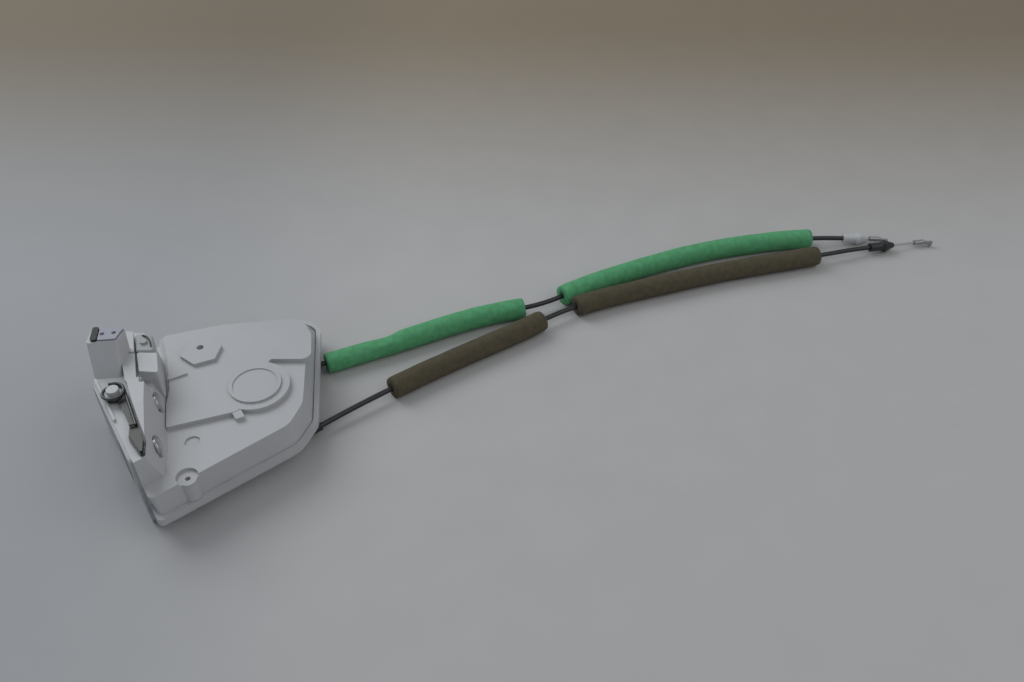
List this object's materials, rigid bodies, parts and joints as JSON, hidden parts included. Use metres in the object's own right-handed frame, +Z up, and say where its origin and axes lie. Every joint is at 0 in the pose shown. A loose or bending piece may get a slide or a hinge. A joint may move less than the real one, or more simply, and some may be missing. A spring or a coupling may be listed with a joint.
{
  "type": "door latch actuator",
  "caption": "Powered door latch with claw and pawl in a steel-faced body, a flat drive housing with a connector, and two sleeved control cables ending in hooks.",
  "frame": {"origin": "middle of the underside of the latch and its housing, cables left out", "axes": "+X from the face plate through the housing towards the cables, +Y along the face plate away from the pawl, +Z up out of the housing cover"},
  "size_m": [0.5899, 0.1937, 0.0716],
  "materials": {
    "plate_steel": "zinc plated, satin",
    "body_plastic": "moulded, satin",
    "dark_steel": "hardened steel",
    "bright_steel": "bright zinc",
    "jacket_plastic": "moulded",
    "spring_steel": "drawn wire",
    "black_rubber": "matt",
    "lever_zinc": "dark zinc flake coat",
    "switch_plastic": "moulded",
    "cover_plastic": "moulded, light draught texture",
    "gear_plastic": "acetal",
    "motor_steel": "plated can",
    "brass_worm": "turned",
    "contact_brass": "tin plated",
    "conduit_black": "extruded",
    "conduit_grey": "extruded",
    "foam_brown": "closed-cell foam",
    "foam_green": "closed-cell foam",
    "ferrule_black": "moulded",
    "ferrule_clear": "moulded",
    "hook_grey": "moulded"
  },
  "bodies": {
    "latch": {"face_plate": "plate_steel", "latch_body": "body_plastic", "back_plate": "plate_steel", "claw_pivot": "bright_steel", "claw_spring": "spring_steel", "pawl_pivot": "bright_steel", "pawl_spring": "spring_steel", "top_plate": "plate_steel", "edge_strip": "black_rubber", "door_switch": "switch_plastic", "switch_pin": "bright_steel", "lever_retainer": "plate_steel", "lock_lever_pivot": "bright_steel", "wheel_pin": "bright_steel", "release_lever_pivot": "bright_steel", "lock_motor": "motor_steel", "housing_base": "cover_plastic", "housing_cover": "cover_plastic", "housing_screws": "bright_steel", "connector_terminals": "contact_brass", "cable_bushes": "black_rubber", "release_conduit": "conduit_black", "lock_conduit": "conduit_grey", "release_sleeve_1": "foam_brown", "release_sleeve_2": "foam_brown", "lock_sleeve_1": "foam_green", "lock_sleeve_2": "foam_green", "release_ferrule": "ferrule_black", "lock_ferrule": "ferrule_clear"},
    "claw": {"claw": "dark_steel", "claw_jacket": "jacket_plastic"},
    "pawl": {"pawl": "dark_steel"},
    "outside_lever": {"outside_lever": "lever_zinc", "lever_spring": "spring_steel"},
    "release_lever": {"release_lever": "dark_steel"},
    "release_inner": {"release_wire": "bright_steel", "release_hook": "hook_grey"},
    "lock_lever": {"lock_lever": "gear_plastic"},
    "worm_wheel": {"worm_wheel": "gear_plastic"},
    "motor_worm": {"motor_worm": "brass_worm"},
    "lock_inner": {"lock_wire": "bright_steel", "lock_hook": "hook_grey"}
  },
  "joints": [
    {"name": "claw_turn", "type": "hinge", "parent": "latch", "child": "claw", "pos_m": [-0.0658, -0.00704, 0.0415], "axis": [1, 0, 0], "range_deg": [-38, 0], "stiffness_Nm_per_rad": 0.06, "springref_deg": 22.92},
    {"name": "release_lever_turn", "type": "hinge", "parent": "latch", "child": "release_lever", "pos_m": [-0.0366, -0.03844, 0.0202], "axis": [0, 0, 1], "range_deg": [0, 13], "stiffness_Nm_per_rad": 0.05, "springref_deg": -17.19},
    {"name": "pawl_lift", "type": "hinge", "parent": "latch", "child": "pawl", "pos_m": [-0.0658, -0.04054, 0.0415], "axis": [-1, 0, 0], "range_deg": [0, 20.5]},
    {"name": "release_wire_slide", "type": "slide", "parent": "latch", "child": "release_inner", "axis": [0.9382, -0.3426, -0.0489], "range_m": [0, 0.004]},
    {"name": "outside_lever_turn", "type": "hinge", "parent": "latch", "child": "outside_lever", "pos_m": [-0.0642, -0.00184, 0.0535], "axis": [0, 0, -1], "range_deg": [0, 8], "stiffness_Nm_per_rad": 0.1, "springref_deg": -17.19},
    {"name": "lock_lever_turn", "type": "hinge", "parent": "latch", "child": "lock_lever", "pos_m": [-0.01048, -0.00019, 0.0144], "axis": [0, 0, -1], "range_deg": [0, 24]},
    {"name": "worm_wheel_turn", "type": "hinge", "parent": "latch", "child": "worm_wheel", "pos_m": [0.01021, -0.01754, 0.018], "axis": [0, 0, 1], "range_deg": [0, 106]},
    {"name": "motor_worm_turn", "type": "hinge", "parent": "latch", "child": "motor_worm", "pos_m": [0.0267, -0.01754, 0.0189], "axis": [0, 1, 0], "range_deg": [0, 2760]},
    {"name": "lock_wire_slide", "type": "slide", "parent": "latch", "child": "lock_inner", "axis": [0.8741, -0.4786, -0.0832], "range_m": [0, 0.007]}
  ],
  "couplings": [
    {"joint": "pawl_lift", "follows": "release_lever_turn", "ratio": 1.54},
    {"joint": "release_wire_slide", "follows": "release_lever_turn", "m_per_rad": 0.017},
    {"joint": "worm_wheel_turn", "follows": "lock_lever_turn", "ratio": 4.4},
    {"joint": "motor_worm_turn", "follows": "lock_lever_turn", "ratio": 114.4},
    {"joint": "lock_wire_slide", "follows": "lock_lever_turn", "m_per_rad": 0.016}
  ]
}
